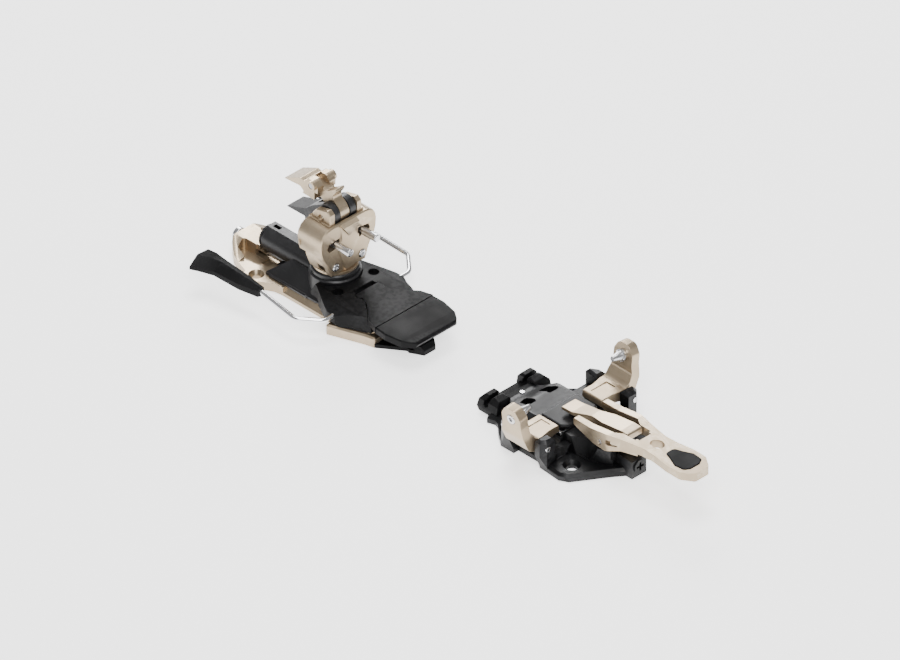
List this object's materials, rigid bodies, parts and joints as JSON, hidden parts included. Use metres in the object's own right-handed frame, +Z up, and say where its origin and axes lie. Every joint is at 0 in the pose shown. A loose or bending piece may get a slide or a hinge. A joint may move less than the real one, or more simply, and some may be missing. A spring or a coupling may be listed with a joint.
{
  "type": "touring ski binding",
  "caption": "Touring ski binding: toe unit with two pivoting pin wings and lever, heel unit with swivelling pin turret, flip-up risers and a wire ski brake.",
  "frame": {"origin": "on the ski's top face, on the heel turret's upright axis", "axes": "+X along the ski to its tip, +Y to the skier's left, +Z up from the ski's top face"},
  "size_m": [0.3671, 0.1132, 0.0774],
  "materials": {
    "sand_metal": "satin anodised aluminium in a light sand colour, fine grain, lighter on worn edges",
    "graphite_metal": "satin anodised aluminium in dark graphite",
    "black_metal": "satin black anodised aluminium with small facets",
    "black_plastic": "moulded black glass-filled plastic, fine texture",
    "steel": "turned stainless steel",
    "bright_wire": "polished bright steel wire",
    "spring_steel": "dark spring steel",
    "bronze": "plain bearing bronze"
  },
  "bodies": {
    "root": {"heel_base_plate": "sand_metal", "glide_plate": "black_plastic", "adjust_washer": "steel", "toe_base": "black_metal", "toe_cover": "black_metal", "crampon_socket": "black_plastic", "crampon_screw": "steel", "wing_hinge_pins": "steel", "toe_springs": "spring_steel", "toe_spring_rods": "steel", "lever_axle": "steel"},
    "adjust_screw": {"adjust_screw": "steel"},
    "carriage": {"carriage": "graphite_metal", "adjust_nut": "bronze", "release_spring": "spring_steel", "release_plunger": "steel", "turret_bushes": "bronze", "brake_housing": "black_plastic", "brake_screws": "steel", "pedal_axle": "steel", "brake_spring": "spring_steel"},
    "release_cap": {"release_cap": "graphite_metal"},
    "turret": {"turret": "sand_metal", "turret_ring": "graphite_metal", "riser_bracket": "sand_metal", "riser_axle": "steel", "arm_pivot_screws": "steel", "pin_spring": "spring_steel"},
    "pin_left": {"pin_arm_left": "graphite_metal", "heel_pin_left": "steel"},
    "pin_right": {"pin_arm_right": "graphite_metal", "heel_pin_right": "steel"},
    "upper_riser": {"upper_riser": "sand_metal", "riser_magnets": "spring_steel"},
    "lower_riser": {"lower_riser": "graphite_metal"},
    "brake_arms": {"brake_wire": "bright_wire", "brake_paddle_left": "black_plastic", "brake_paddle_right": "black_plastic"},
    "pedal": {"brake_pedal": "black_plastic", "pedal_pad": "black_plastic"},
    "wing_left": {"wing_left": "sand_metal", "toe_pin_left": "steel", "toe_pin_screw_left": "steel"},
    "wing_right": {"wing_right": "sand_metal", "toe_pin_right": "steel", "toe_pin_screw_right": "steel"},
    "tongue": {"lever_tongue": "sand_metal"},
    "lever": {"toe_lever": "sand_metal", "lever_pad": "black_plastic"},
    "boss_screw": {"boss_screw": "black_metal"}
  },
  "joints": [
    {"name": "heel_slide", "type": "slide", "parent": "root", "child": "carriage", "axis": [1, 0, 0], "range_m": [0, 0.025]},
    {"name": "adjust_turn", "type": "hinge", "parent": "root", "child": "adjust_screw", "pos_m": [-0.075, 0, 0.0046], "axis": [1, 0, 0], "range_deg": [-360, 360]},
    {"name": "release_turn", "type": "hinge", "parent": "carriage", "child": "release_cap", "pos_m": [-0.052, 0, 0.0154], "axis": [1, 0, 0], "range_deg": [-360, 360]},
    {"name": "turret_swivel", "type": "hinge", "parent": "carriage", "child": "turret", "pos_m": [0, 0, 0.03], "axis": [0, 0, 1], "range_deg": [-90, 90]},
    {"name": "pin_left_spread", "type": "hinge", "parent": "turret", "child": "pin_left", "pos_m": [0.003, 0.0102, 0.0305], "axis": [-1, 0, 0], "range_deg": [0, 9], "stiffness_Nm_per_rad": 6, "springref_deg": -8.59},
    {"name": "pin_right_spread", "type": "hinge", "parent": "turret", "child": "pin_right", "pos_m": [0.003, -0.0102, 0.0305], "axis": [1, 0, 0], "range_deg": [0, 9], "stiffness_Nm_per_rad": 6, "springref_deg": -8.59},
    {"name": "upper_riser_flip", "type": "hinge", "parent": "turret", "child": "upper_riser", "pos_m": [0.0015, 0, 0.0605], "axis": [0, 1, 0], "range_deg": [0, 100]},
    {"name": "lower_riser_flip", "type": "hinge", "parent": "turret", "child": "lower_riser", "pos_m": [0.0015, 0, 0.0605], "axis": [0, 1, 0], "range_deg": [0, 114]},
    {"name": "brake_deploy", "type": "hinge", "parent": "carriage", "child": "brake_arms", "pos_m": [0.025, 0, 0.0129], "axis": [0, -1, 0], "range_deg": [0, 55]},
    {"name": "pedal_lift", "type": "hinge", "parent": "carriage", "child": "pedal", "pos_m": [0.031, 0, 0.0164], "axis": [0, -1, 0], "range_deg": [0, 16]},
    {"name": "wing_left_close", "type": "hinge", "parent": "root", "child": "wing_left", "pos_m": [0.186, 0.0338, 0.0156], "axis": [1, 0, 0], "range_deg": [0, 6.5]},
    {"name": "wing_right_close", "type": "hinge", "parent": "root", "child": "wing_right", "pos_m": [0.186, -0.0338, 0.0156], "axis": [-1, 0, 0], "range_deg": [0, 6.5]},
    {"name": "tongue_tilt", "type": "hinge", "parent": "root", "child": "tongue", "pos_m": [0.222, 0, 0.0204], "axis": [0, -1, 0], "range_deg": [0, 3]},
    {"name": "lever_lift", "type": "hinge", "parent": "root", "child": "lever", "pos_m": [0.222, 0, 0.0204], "axis": [0, -1, 0], "range_deg": [0, 17]},
    {"name": "boss_screw_turn", "type": "hinge", "parent": "root", "child": "boss_screw", "pos_m": [0.2396, 0, 0.0066], "axis": [1, 0, 0], "range_deg": [-360, 360]}
  ],
  "couplings": [
    {"joint": "lower_riser_flip", "follows": "upper_riser_flip", "ratio": 1.1333},
    {"joint": "pedal_lift", "follows": "brake_deploy", "ratio": 0.29},
    {"joint": "wing_right_close", "follows": "wing_left_close", "ratio": 1},
    {"joint": "tongue_tilt", "follows": "wing_left_close", "ratio": 0.4615}
  ]
}
